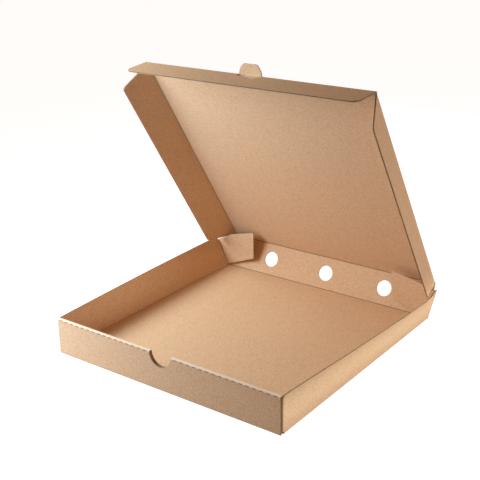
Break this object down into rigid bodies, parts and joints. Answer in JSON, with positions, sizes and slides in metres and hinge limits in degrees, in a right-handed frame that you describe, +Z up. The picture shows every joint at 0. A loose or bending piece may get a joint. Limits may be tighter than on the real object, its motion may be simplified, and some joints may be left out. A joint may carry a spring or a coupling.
{
  "type": "pizza box",
  "caption": "Open pizza box folded from brown corrugated board: shallow tray with a rolled-over front wall and thumb notch, vented rear wall, and a hinged lid with tuck-in flaps and a pull tab.",
  "frame": {"origin": "middle of the tray's flat underside", "axes": "+Z up, +Y towards the rear wall that carries the lid, +X to the right as seen from the front"},
  "size_m": [0.3648, 0.3697, 0.3477],
  "materials": {
    "board": "matte uncoated kraft corrugated board"
  },
  "bodies": {
    "tray": {"tray": "board"},
    "rear_panel": {"rear_wall": "board"},
    "lid": {"lid_panel": "board"},
    "front_flap": {"lid_front_flap": "board"},
    "left_flap": {"lid_left_flap": "board"},
    "right_flap": {"lid_right_flap": "board"},
    "rear_left_corner": {"rear_left_dust_flap": "board"},
    "rear_right_corner": {"rear_right_dust_flap": "board"}
  },
  "joints": [
    {"name": "lid_crease", "type": "hinge", "parent": "rear_panel", "child": "lid", "pos_m": [0, 0.1939, 0.04328], "axis": [1, 0, 0], "range_deg": [-35.57, 32.4]},
    {"name": "rear_wall_crease", "type": "hinge", "parent": "tray", "child": "rear_panel", "pos_m": [0, 0.17425, 0.00075], "axis": [1, 0, 0], "range_deg": [-27.28, 24.85]},
    {"name": "lid_front_flap_crease", "type": "hinge", "parent": "lid", "child": "front_flap", "pos_m": [0, 0.00804, 0.33168], "axis": [1, 0, 0], "range_deg": [-32.99, 30.05]},
    {"name": "lid_left_flap_crease", "type": "hinge", "parent": "lid", "child": "left_flap", "pos_m": [-0.16225, 0.1939, 0.04328], "axis": [0, -0.5417, 0.8406], "range_deg": [-35.18, 32.05]},
    {"name": "lid_right_flap_crease", "type": "hinge", "parent": "lid", "child": "right_flap", "pos_m": [0.16225, 0.1939, 0.04328], "axis": [0, -0.5417, 0.8406], "range_deg": [-21.55, 23.65]},
    {"name": "rear_left_corner_crease", "type": "hinge", "parent": "tray", "child": "rear_left_corner", "pos_m": [-0.16425, 0.17235, 0.00075], "axis": [0, 1, 0], "range_deg": [-25.3, 23.05]},
    {"name": "rear_right_corner_crease", "type": "hinge", "parent": "tray", "child": "rear_right_corner", "pos_m": [0.16425, 0.17235, 0.00075], "axis": [0, 1, 0], "range_deg": [-14.05, 15.42]}
  ],
  "couplings": [
    {"joint": "rear_wall_crease", "follows": "lid_crease", "ratio": 0.76543},
    {"joint": "lid_front_flap_crease", "follows": "lid_crease", "ratio": 0.92593},
    {"joint": "lid_left_flap_crease", "follows": "lid_crease", "ratio": 0.98765},
    {"joint": "lid_right_flap_crease", "follows": "lid_crease", "ratio": -0.66358},
    {"joint": "rear_left_corner_crease", "follows": "lid_crease", "ratio": 0.70988},
    {"joint": "rear_right_corner_crease", "follows": "lid_crease", "ratio": -0.4321}
  ]
}
